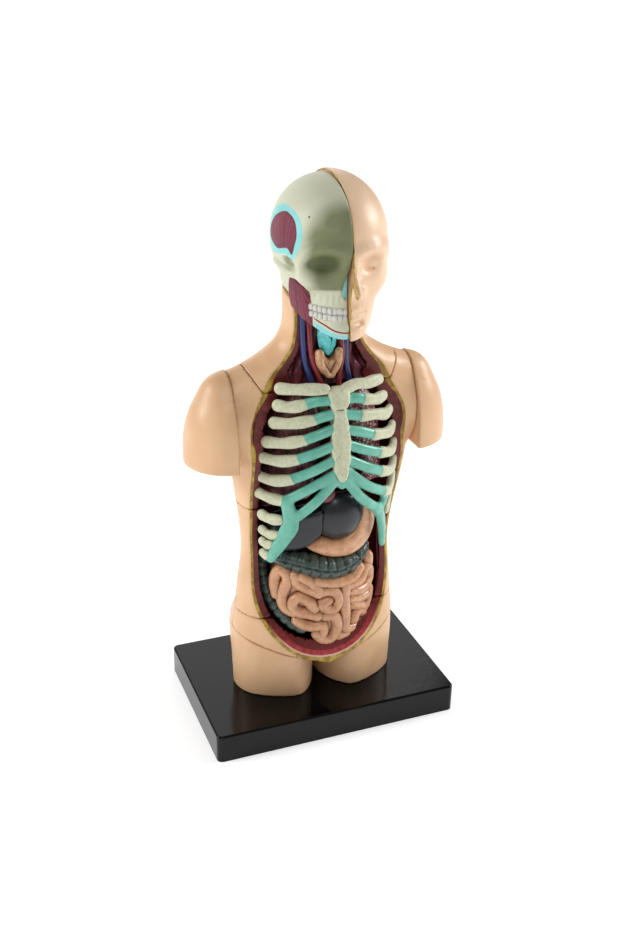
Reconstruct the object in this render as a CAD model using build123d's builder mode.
"""Snap-together torso anatomy model on a stand.

The origin is the centre of the underside of the base. +Z is up and the figure faces -Y, so the
figure's own right side is at -X. All sizes are in millimetres.
"""

from build123d import *
import os

os.makedirs("parts", exist_ok=True)

# Driving dimensions
base_width = 52.6
base_depth = 35.0
base_height = 6.1
base_wall = 2.2
base_deck = 2.7
leg_spacing = 17.5
half_gap = 0.05
skin_reach = 60.0
skin_tall = 120.0
hip_seam_height = 25.0
waist_seam_height = 50.0
yoke_seam_height = 74.0
crotch_height = 13.8
groin_slope = 0.36
arm_plane = 18.5
arm_bottom = 59.3
joint_clearance = 0.45
arm_gap = 0.15
peg_radius = 1.0
peg_clearance = 0.3
organ_back = -0.3
relief_front = 0.25
wall_front = 3.2
wall_back = 4.6
head_bottom = 87.4
head_top = 113.8
head_centre_y = -4.2

# Torso skin: height, half width, half depth, middle in y
torso_sections = [
    (6.1, 17.4, 9.4, -1.0),
    (18, 17.9, 10.4, -1.0),
    (25, 17.3, 10.1, -1.0),
    (31, 16.5, 9.6, -1.2),
    (38, 15.8, 9.4, -1.4),
    (45, 16.2, 10.1, -1.8),
    (52, 17.3, 11.3, -2.1),
    (60, 18.4, 12.2, -2.3),
    (68, 18.9, 11.3, -2.3),
    (73, 18.9, 9.6, -2.0),
    (76.5, 17.2, 8.1, -1.9),
    (79, 13.2, 7.4, -2.2),
    (81.5, 9.6, 6.9, -2.4),
    (84.5, 7.9, 6.9, -2.6),
    (87, 7.6, 6.9, -2.8),
]
# Hollow inside the skin, in the same order
cavity_sections = [
    (15.4, 11.0, 6.6, -1.5),
    (18, 15.2, 8.6, -1.1),
    (25, 15.5, 8.8, -1.0),
    (31, 14.7, 8.3, -1.2),
    (38, 14.0, 8.1, -1.4),
    (45, 14.4, 8.8, -1.8),
    (52, 15.5, 10.0, -2.1),
    (60, 16.6, 10.8, -2.3),
    (68, 17.1, 9.9, -2.3),
    (72, 16.8, 8.4, -2.1),
    (75, 14.6, 7.0, -2.0),
    (77.5, 10.8, 6.1, -2.2),
    (80.5, 7.7, 5.6, -2.4),
    (84, 6.4, 5.6, -2.6),
    (90, 6.2, 5.6, -2.8),
]
# Front envelope of the organs, in the same order
organ_sections = [
    (15, 11.0, 8.6, -1.5),
    (21, 13.0, 9.5, -1.3),
    (30, 13.2, 9.7, -1.3),
    (38, 13.1, 9.6, -1.7),
    (46, 13.0, 10.0, -2.3),
    (56, 12.9, 10.6, -2.3),
    (64, 12.4, 9.9, -2.3),
    (70, 11.6, 8.5, -2.3),
    (77, 9.6, 6.4, -2.3),
]
# Outside of the rib cage, in the same order
rib_sections = [
    (36, 14.9, 11.9, -2.3),
    (46, 15.0, 12.4, -2.3),
    (56, 15.0, 12.8, -2.3),
    (64, 14.4, 12.1, -2.3),
    (70, 13.7, 11.1, -2.3),
    (78, 12.6, 9.6, -2.3),
]
rib_thickness = 1.3
rib_half_width = 1.0
# Side view of the cut that opens the front: (y, z) from the pelvis up to the jaw
front_cut = [
    (-11.2, 15.6),
    (-9.6, 19.8),
    (-6.6, 26.0),
    (-4.7, 34.0),
    (-4.6, 42.0),
    (-6.6, 52.0),
    (-8.2, 60.0),
    (-7.2, 68.0),
    (-6.2, 76.0),
    (-5.7, 90.0),
]
# Right half of the front view of the same opening: (x, z)
front_window = [
    (18.6, 30.0),
    (18.6, 56.0),
    (15.7, 64.0),
    (14.8, 69.5),
    (12.9, 74.2),
    (11.3, 77.2),
    (9.0, 79.6),
    (7.7, 83.0),
    (7.5, 92.0),
]


def ellipse_loft(sections):
    """A smooth body through elliptical sections."""
    with BuildPart() as body:
        for height, half_width, half_depth, middle in sections:
            with BuildSketch(Plane.XY.offset(height)):
                with Locations((0, middle)):
                    Ellipse(half_width, half_depth)
        loft()
    return body.part


def front_prism(points, front=-30.0, back=organ_back, smooth=True):
    """A front-view outline of (x, z) points, run along y from front to back."""
    with BuildPart() as prism:
        with BuildSketch(Plane.XZ.offset(-back)):
            with BuildLine():
                if smooth:
                    Spline(*points, periodic=True)
                else:
                    Polyline(*points, close=True)
            make_face()
        extrude(amount=back - front)
    return prism.part


def in_front_of_cut(shift=0.0, top=95.0):
    """Everything in front of the side-view cut, moved forward by shift."""
    curve = [(y - shift, z) for y, z in front_cut]
    ahead = -40
    low = 5
    corners = [curve[-1], (curve[-1][0], top), (ahead, top), (ahead, low), (curve[0][0], low), curve[0]]
    with BuildPart() as region:
        with BuildSketch(Plane.YZ):
            with BuildLine():
                Spline(*curve)
                Polyline(*corners)
            make_face()
        extrude(amount=skin_reach / 2, both=True)
    return region.part


def box_between(low, high):
    """A box between two opposite corners."""
    with BuildPart() as block:
        with Locations(tuple((a + b) / 2 for a, b in zip(low, high))):
            Box(*(b - a for a, b in zip(low, high)))
    return block.part


def mirrored_x(points):
    return [(-x, z) for x, z in points]


def write(part, name):
    part.label = name
    export_step(part, f"parts/{name}.step")


# Shared shapes: the skin before it is cut into panels, and the tools that cut it
torso_body = ellipse_loft(torso_sections)
cavity = ellipse_loft(cavity_sections)
organ_space = ellipse_loft(organ_sections)
cut_region = in_front_of_cut()
window_outline = [(-x, z) for x, z in front_window] + [(x, z) for x, z in reversed(front_window)]
window_outline += [(18.6, 12.0), (-18.6, 12.0)]
window = front_prism(window_outline, back=0.0, smooth=False)

# Shoulder lobe: the stump of an upper arm, before the arm is split off
with BuildPart() as shoulder_lobe:
    lobe_sections = [
        (arm_bottom, 19.4, 7.6, 7.4),
        (62, 19.3, 7.7, 8.1),
        (67, 18.9, 7.4, 8.1),
        (70.5, 18.2, 6.9, 7.3),
        (73.5, 17.2, 5.9, 6.0),
        (75.6, 16.4, 3.9, 4.1),
        (76.6, 16.0, 1.6, 1.8),
    ]
    for height, middle_x, half_width, half_depth in lobe_sections:
        with BuildSketch(Plane.XY.offset(height)):
            with Locations((middle_x, -1.1)):
                Ellipse(half_width, half_depth)
    loft()

yoke_outline = [
    (-12.9, yoke_seam_height),
    (12.9, yoke_seam_height),
    (16.4, 79.5),
    (16.4, 92.0),
    (-16.4, 92.0),
    (-16.4, 79.5),
]
yoke_region = front_prism(yoke_outline, back=30.0, smooth=False)

groin_rise = groin_slope * skin_reach / 2
leg_outline = [
    (0, crotch_height),
    (skin_reach / 2, crotch_height + groin_rise),
    (skin_reach / 2, 0),
    (-skin_reach / 2, 0),
    (-skin_reach / 2, crotch_height + groin_rise),
]
leg_region = front_prism(leg_outline, back=30.0, smooth=False)

with BuildPart() as opening:
    add(cut_region)
    add(window, mode=Mode.INTERSECT)

with BuildPart() as skin:
    add(torso_body)
    add(shoulder_lobe.part)
    add(mirror(shoulder_lobe.part, about=Plane.YZ))
    with Locations((0, 0, skin_tall / 2)):
        Box(2 * arm_plane, skin_reach, skin_tall, mode=Mode.INTERSECT)
    add(cavity, mode=Mode.SUBTRACT)
    add(opening.part, mode=Mode.SUBTRACT)

# Base: a moulded tray with an open underside, cross ribs and two sockets for the leg pegs
leg_peg_radius = 2.0
leg_peg_length = 2.4
leg_middle_y = -1.0
with BuildPart() as base_plate:
    with BuildSketch(Plane.XY):
        RectangleRounded(base_width, base_depth, 1.2)
    extrude(amount=base_height)
    top_edges = base_plate.faces().sort_by(Axis.Z)[-1].edges()
    fillet(top_edges, radius=0.45)
    pocket_width = (base_width - 3 * base_wall) / 2
    pocket_depth = (base_depth - 3 * base_wall) / 2
    with BuildSketch(Plane.XY):
        with GridLocations(pocket_width + base_wall, pocket_depth + base_wall, 2, 2):
            RectangleRounded(pocket_width, pocket_depth, 1.0)
    extrude(amount=base_height - base_deck, mode=Mode.SUBTRACT)
    with BuildSketch(Plane.XY.offset(base_height)):
        with Locations((-leg_spacing / 2, leg_middle_y), (leg_spacing / 2, leg_middle_y)):
            Circle(leg_peg_radius + peg_clearance)
    extrude(amount=-leg_peg_length - 0.2, mode=Mode.SUBTRACT)
write(base_plate.part, "base_plate")

# Leg stumps: hollow columns, cut off level at the base and along the groin seam above
leg_radius_x = 8.35
leg_radius_y = 9.0
leg_floor = 1.6
for side, name in ((-1, "leg_stump_right"), (1, "leg_stump_left")):
    with BuildPart() as leg_stump:
        with BuildSketch(Plane.XY.offset(base_height)):
            with Locations((side * leg_spacing / 2, leg_middle_y)):
                Ellipse(leg_radius_x, leg_radius_y)
        extrude(amount=18)
        add(torso_body, mode=Mode.INTERSECT)
        add(leg_region, mode=Mode.INTERSECT)
        with BuildSketch(Plane.XY.offset(base_height + leg_floor)):
            with Locations((side * leg_spacing / 2, leg_middle_y)):
                Ellipse(leg_radius_x - 2.2, leg_radius_y - 2.6)
        extrude(amount=18, mode=Mode.SUBTRACT)
        with BuildSketch(Plane.XY.offset(base_height - leg_peg_length)):
            with Locations((side * leg_spacing / 2, leg_middle_y)):
                Circle(leg_peg_radius)
        extrude(amount=leg_peg_length)
    write(leg_stump.part, name)


def skin_panel(name, low, high, socket_side=0):
    """One panel of the trunk, between two corners, with the socket for an arm peg if it has one."""
    with BuildPart() as panel:
        add(skin.part)
        add(box_between(low, high), mode=Mode.INTERSECT)
        add(leg_region, mode=Mode.SUBTRACT)
        add(yoke_region, mode=Mode.SUBTRACT)
        if socket_side:
            with BuildSketch(Plane.YZ.offset(socket_side * arm_plane)):
                with Locations((arm_peg_y, arm_peg_height)):
                    Circle(arm_peg_radius + peg_clearance)
            extrude(amount=-socket_side * 3, mode=Mode.SUBTRACT)
    write(panel.part, name)


# Skin of the trunk: front panels meet the back ones at y = 0
arm_peg_height = 67.0
arm_peg_y = -1.0
arm_peg_radius = 1.6
arm_peg_length = 1.3
far = skin_reach / 2
skin_panel("pelvis_front", (-far, -far, 8), (far, 0, hip_seam_height))
skin_panel("pelvis_back", (-far, 0, 8), (far, far, hip_seam_height))
skin_panel("abdomen_right", (-far, -far, hip_seam_height), (0, 0, waist_seam_height))
skin_panel("abdomen_left", (0, -far, hip_seam_height), (far, 0, waist_seam_height))
skin_panel("abdomen_back", (-far, 0, hip_seam_height), (far, far, waist_seam_height))
skin_panel("chest_right", (-far, -far, waist_seam_height), (0, 1.2, 88), socket_side=-1)
skin_panel("chest_left", (0, -far, waist_seam_height), (far, 1.2, 88), socket_side=1)
skin_panel("chest_back", (-far, 1.2, waist_seam_height), (far, far, 88))

with BuildPart() as neck_yoke:
    add(skin.part)
    add(yoke_region, mode=Mode.INTERSECT)
write(neck_yoke.part, "neck_yoke")

# Arm stumps: solid lobes with a round peg on the flat shoulder face
arm_inner = arm_plane + arm_gap
for side, name in ((-1, "arm_stump_right"), (1, "arm_stump_left")):
    with BuildPart() as arm_stump:
        add(shoulder_lobe.part if side > 0 else mirror(shoulder_lobe.part, about=Plane.YZ))
        with Locations((side * (arm_inner + skin_reach / 2), 0, skin_tall / 2)):
            Box(skin_reach, skin_reach, skin_tall, mode=Mode.INTERSECT)
        with BuildSketch(Plane.YZ.offset(side * arm_inner)):
            with Locations((arm_peg_y, arm_peg_height)):
                Circle(arm_peg_radius)
        extrude(amount=-side * arm_peg_length)
    write(arm_stump.part, name)

# Rib cage: one springy piece of clavicles, sternum, ribs and costal arches
rib_ends = [
    (2.0, 73.3, 6.1, 72.7, 11.9, 72.0),
    (1.9, 70.6, 4.7, 69.6, 12.6, 68.7),
    (1.9, 67.6, 7.0, 65.6, 13.6, 64.9),
    (1.9, 64.5, 8.4, 61.7, 14.2, 61.2),
    (1.9, 61.7, 9.1, 57.7, 14.6, 57.1),
    (1.6, 59.2, 10.2, 52.8, 14.8, 53.4),
]
false_ribs = [
    (10.3, 49.1, 14.8, 49.2),
    (10.5, 45.9, 14.8, 46.1),
    (11.0, 43.3, 14.8, 43.2),
    (11.6, 40.2, 14.8, 40.2),
]
costal_arch = [(1.3, 57.6), (4.7, 53.4), (8.4, 49.4), (9.8, 45.2), (11.7, 40.6)]
seventh_cartilage = [(6.0, 54.2), (10.3, 49.1), (10.5, 45.9), (11.7, 40.6)]
clavicle = [(1.5, 75.0), (3.0, 75.6), (6.0, 75.4), (10.6, 75.3)]
sternum_half = [(2.1, 75.2), (1.3, 71.2), (1.9, 65), (1.5, 59.2), (0.6, 57), (0.5, 55.9)]
sternum = sternum_half + [(-x, z) for x, z in reversed(sternum_half)]
chains = [[(x0, z0), (x1, z1), (x2, z2)] for x0, z0, x1, z1, x2, z2 in rib_ends]
chains += [[(x0, z0), (x1, z1)] for x0, z0, x1, z1 in false_ribs]
chains += [costal_arch, seventh_cartilage, clavicle]
with BuildPart() as rib_bars:
    with BuildSketch(Plane.XZ):
        for chain in chains:
            for points in (chain, mirrored_x(chain)):
                with BuildLine(mode=Mode.PRIVATE) as route:
                    Polyline(*points)
                trace(route.line, line_width=2 * rib_half_width)
                with Locations(*points):
                    Circle(rib_half_width)
        with BuildLine():
            Polyline(*sternum, close=True)
        make_face()
    extrude(amount=30)
rib_outside = ellipse_loft(rib_sections)
rib_inside = ellipse_loft([(z, a - rib_thickness, b - rib_thickness, y) for z, a, b, y in rib_sections])
rib_peg_height = 68.3
with BuildPart() as rib_cage:
    add(rib_outside)
    add(rib_inside, mode=Mode.SUBTRACT)
    add(rib_bars.part, mode=Mode.INTERSECT)
    add(in_front_of_cut(shift=joint_clearance), mode=Mode.INTERSECT)
    with BuildSketch(Plane.XZ.offset(-wall_front + 1.4)):
        with Locations((0, rib_peg_height)):
            Circle(peg_radius)
    extrude(amount=14.6)
write(rib_cage.part, "rib_cage")


def organ(name, outline, peg=None):
    """An organ: a front-view outline run back to a flat rear face, with one peg behind it."""
    with BuildPart() as piece:
        add(front_prism(outline))
        add(organ_space, mode=Mode.INTERSECT)
        if name == "small_intestine":
            add(behind_pelvis_rim, mode=Mode.SUBTRACT)
        if peg:
            with BuildSketch(Plane.XZ.offset(-organ_back)):
                with Locations(peg):
                    Circle(peg_radius)
            extrude(amount=organ_back - wall_back)
    write(piece.part, name)


# The rim of the pelvis stands in the way below this height, so the coils stay in front of it there
rim_height = 25.5
with BuildPart() as rim_side:
    add(box_between((-far, -30, 5), (far, 5, rim_height)))
    add(in_front_of_cut(shift=joint_clearance), mode=Mode.SUBTRACT)
behind_pelvis_rim = rim_side.part

organ_pegs = {
    "lung_right": (-8.0, 62.0),
    "lung_left": (8.0, 64.0),
    "heart": (0.0, 59.0),
    "liver": (-7.0, 45.5),
    "stomach": (8.8, 45.0),
    "large_intestine": (0.0, 35.4),
    "small_intestine": (6.5, 29.0),
}
organ_outlines = {
    "lung_right": [
        (-12.9, 47.9), (-9.4, 51.4), (-4.6, 53.0), (-3.6, 59.0), (-2.4, 66.0), (-3.0, 71.5),
        (-5.6, 73.5), (-9.0, 72.3), (-11.8, 66.0), (-13.0, 57.0),
    ],
    "lung_left": [
        (12.9, 51.2), (9.4, 53.2), (6.6, 54.2), (5.6, 57.5), (4.6, 62.0), (2.4, 66.8),
        (3.0, 71.5), (5.6, 73.5), (9.0, 72.3), (11.8, 66.0), (13.0, 58.0),
    ],
    "heart": [
        (-2.9, 54.6), (0.5, 54.3), (5.3, 54.7), (4.8, 58.0), (3.7, 62.0), (1.7, 65.8),
        (-1.1, 65.2), (-2.2, 60.0),
    ],
    "liver": [
        (-12.6, 44.6), (-9.4, 48.8), (-3.6, 50.5), (0.5, 51.6), (4.4, 51.2), (5.9, 48.6), (4.5, 45.3),
        (1.0, 43.6), (-2.6, 44.5), (-4.8, 42.2), (-8.0, 40.9), (-11.8, 40.6),
    ],
    "stomach": [
        (8.4, 50.3), (12.2, 47.6), (12.3, 43.0), (9.6, 39.3), (4.0, 37.9), (-1.2, 39.0), (-4.5, 41.3),
        (-2.4, 43.6), (1.2, 42.7), (5.2, 44.6), (6.9, 48.6),
    ],
    "large_intestine": [
        (-11.8, 38.4), (-9.0, 39.5), (-5.4, 39.6), (-1.8, 37.9), (4.0, 36.7), (9.2, 37.6), (9.7, 36.5),
        (7.2, 34.4), (0.1, 33.7), (-5.2, 34.7), (-8.9, 37.1), (-10.6, 36.2), (-10.8, 30.0),
        (-9.6, 26.9), (-7.4, 24.4), (-5.2, 22.3), (-6.2, 21.4), (-9.1, 23.9), (-11.2, 27.4),
        (-12.2, 33.0),
    ],
    "small_intestine": [
        (-8.8, 36.0), (-10.1, 34.8), (-10.2, 30.0), (-8.9, 27.4), (-6.4, 24.9), (-3.6, 21.9), (0.8, 18.6),
        (4.8, 18.4), (8.4, 20.6), (10.7, 25.0), (11.6, 31.0), (10.9, 35.6), (7.8, 33.6),
        (0.2, 32.8), (-5.4, 33.8),
    ],
}
for organ_name, organ_outline in organ_outlines.items():
    organ(organ_name, organ_outline, organ_pegs[organ_name])

# Diaphragm: a thin domed sheet between the chest and the belly, held by the skin
diaphragm_arc = [
    (-13.3, 46.0), (-9.5, 50.1), (-3.6, 51.8), (0.8, 52.9), (5.6, 52.5), (9.2, 51.7), (13.0, 49.4),
]
diaphragm_thickness = 0.7
with BuildPart() as diaphragm:
    with BuildSketch(Plane.XZ.offset(0.6)):
        with BuildLine() as dome:
            Spline(*diaphragm_arc)
        trace(dome.line, line_width=diaphragm_thickness)
    extrude(amount=11)
    add(organ_space, mode=Mode.INTERSECT)
write(diaphragm.part, "diaphragm")

# Rear wall: the muscle wall that every organ plugs into
with BuildPart() as back_wall:
    add(ellipse_loft([(z, a - 0.2, b - 0.2, y) for z, a, b, y in cavity_sections]))
    add(box_between((-far, wall_front, 20), (far, wall_back, yoke_seam_height - 1)), mode=Mode.INTERSECT)
    with BuildSketch(Plane.XZ.offset(-wall_back - 1)):
        with Locations(*organ_pegs.values()):
            Circle(peg_radius + peg_clearance)
    extrude(amount=4, mode=Mode.SUBTRACT)
write(back_wall.part, "back_wall")

# Spine: a column of vertebrae in relief on the rear wall, with sockets for the heart and the ribs
spine_bottom = 21.0
vertebra_count = 14
vertebra_pitch = 3.6
spine_middle = wall_front + 0.7
with BuildPart() as spine:
    with BuildSketch(Plane.XY.offset(spine_bottom)):
        with Locations((0, spine_middle)):
            Ellipse(2.0, spine_middle - relief_front - 0.3)
    extrude(amount=vertebra_count * vertebra_pitch)
    for count in range(vertebra_count):
        with BuildSketch(Plane.XY.offset(spine_bottom + 0.5 + count * vertebra_pitch)):
            with Locations((0, spine_middle)):
                Ellipse(2.5, spine_middle - relief_front)
        extrude(amount=2.7)
    add(box_between((-far, wall_front, 0), (far, far, 120)), mode=Mode.SUBTRACT)
    with BuildSketch(Plane.XZ.offset(-wall_front - 1)):
        with Locations((0, rib_peg_height), organ_pegs["heart"], organ_pegs["large_intestine"]):
            Circle(peg_radius + peg_clearance)
    extrude(amount=6, mode=Mode.SUBTRACT)
write(spine.part, "spine")

# Kidneys: two beans in relief on the rear wall
bean = [
    (3.4, 38.2), (4.6, 40.0), (6.6, 40.2), (8.0, 38.0), (8.0, 35.0), (6.4, 33.0), (4.4, 33.4),
    (3.6, 35.0), (4.4, 36.6),
]
for side, name in ((-1, "kidney_right"), (1, "kidney_left")):
    with BuildPart() as kidney:
        add(front_prism([(side * x, z) for x, z in bean], front=relief_front, back=wall_front))
    write(kidney.part, name)

# Neck: a muscle column with the vessels, the larynx in front of it and the thyroid below that
neck_top = 86.9
neck_middle_y = -1.9
neck_peg_middle = (0, -2.0)
neck_peg_radius = 1.8
neck_peg_length = 3.2
neck_peg_clearance = 0.4
neck_sections = [(yoke_seam_height + 0.1, 6.2, 3.9), (79, 5.6, 4.1), (neck_top, 5.2, 4.2)]
neck_vessels = [(4.9, -4.4), (3.6, -5.1)]
vessel_radius = 0.75
vessel_bottom = yoke_seam_height + 3
with BuildPart() as neck_core:
    for height, half_width, half_depth in neck_sections:
        with BuildSketch(Plane.XY.offset(height)):
            with Locations((0, neck_middle_y)):
                Ellipse(half_width, half_depth)
    loft()
    with BuildSketch(Plane.XY.offset(neck_top)):
        with Locations(neck_peg_middle):
            Circle(neck_peg_radius)
    extrude(amount=neck_peg_length)
    for side in (-1, 1):
        for vessel_x, vessel_y in neck_vessels:
            with BuildSketch(Plane.XY.offset(vessel_bottom)):
                with Locations((side * vessel_x, vessel_y)):
                    Circle(vessel_radius)
            extrude(amount=neck_top - vessel_bottom)
write(neck_core.part, "neck_core")

larynx_back = -6.1
larynx_outline = [(-2.9, 85.4), (-2.7, 82.7), (-1.4, 81.4), (0, 80.9), (0.9, 82.1), (1.8, 84.0), (1.7, 85.4)]
with BuildPart() as larynx:
    add(front_prism(larynx_outline, front=-8.9, back=larynx_back, smooth=False))
    chamfer(larynx.faces().sort_by(Axis.Y)[0].edges(), length=0.5)
write(larynx.part, "larynx")

thyroid_outline = [
    (-3.2, 81.2), (-3.1, 79.4), (-2.4, 77.6), (-0.4, 76.6), (1.4, 77.8), (2.1, 79.6), (2.0, 81.2),
    (1.3, 81.2), (0, 80.2), (-1.6, 80.9), (-2.6, 81.9),
]
with BuildPart() as thyroid:
    add(front_prism(thyroid_outline, front=-8.0, back=larynx_back, smooth=False))
write(thyroid.part, "thyroid")

# Head: the left half keeps its skin and face, the right half is the bare skull
head_sections = [
    (head_bottom, 7.6, 9.4, -4.9),
    (91, 8.8, 10.9, -4.7),
    (97, 10.3, 12.1, -4.4),
    (103, 11.0, 12.5, head_centre_y),
    (107.5, 10.1, 11.6, head_centre_y),
    (111, 7.6, 9.0, head_centre_y),
    (113, 4.4, 5.6, head_centre_y),
    (head_top, 1.4, 2.0, head_centre_y),
]
head_body = ellipse_loft(head_sections)
skull_body = ellipse_loft([(z, a - 0.5, b - 0.3, y) for z, a, b, y in head_sections[:-1]])
brain_sections = [
    (97.5, 5.4, 6.4, -3.6),
    (100, 7.6, 9.0, -3.8),
    (104, 8.5, 9.9, -4.0),
    (108, 7.2, 8.6, -4.0),
    (110.3, 4.4, 5.6, -4.0),
]
brain_body = ellipse_loft(brain_sections)
brain_room = ellipse_loft(
    [(96.9, 5.9, 6.9, -3.6)]
    + [(z, a + 0.5, b + 0.5, y) for z, a, b, y in brain_sections[1:-1]]
    + [(110.9, 5.0, 6.2, -4.0)]
)
jaw_body = ellipse_loft([(85.3, 3.4, 2.4, -13.0), (87.4, 6.0, 4.6, -11.5), (91.5, 8.0, 7.0, -8.6)])
nose_profile = [(-15.6, 100), (-20.0, 95.4), (-19.8, 93.9), (-16.0, 93.2), (-12, 95)]
nose_half_width = 1.6


def half_head(body, side):
    """Half of a head, hollowed for the brain and for the peg on top of the neck."""
    with BuildPart() as half:
        add(body)
        add(jaw_body)
        if side > 0:
            with BuildSketch(Plane.YZ):
                with BuildLine():
                    Polyline(*nose_profile, close=True)
                make_face()
            extrude(amount=nose_half_width, both=True)
        with Locations((side * (skin_reach / 2 + half_gap), 0, 100)):
            Box(skin_reach, skin_reach, skin_reach, mode=Mode.INTERSECT)
        add(brain_room, mode=Mode.SUBTRACT)
        with BuildSketch(Plane.XY.offset(80)):
            with Locations(neck_peg_middle):
                Circle(neck_peg_radius + neck_peg_clearance)
        extrude(amount=11, mode=Mode.SUBTRACT)
        if side < 0:
            with BuildSketch(Plane.XZ.offset(11)):
                with Locations((-4.8, 100.3)):
                    Ellipse(2.3, 2.0)
                with BuildLine():
                    Polyline((0, 98.6), (-1.6, 94.4), (0, 94), close=True)
                make_face()
            extrude(amount=10, mode=Mode.SUBTRACT)
    return half.part


write(half_head(head_body, 1), "head_left")
write(half_head(skull_body, -1), "skull_right")

for side, name in ((-1, "brain_right"), (1, "brain_left")):
    with BuildPart() as brain:
        add(brain_body)
        with Locations((side * (skin_reach / 2 + half_gap), 0, 100)):
            Box(skin_reach, skin_reach, skin_reach, mode=Mode.INTERSECT)
    write(brain.part, name)
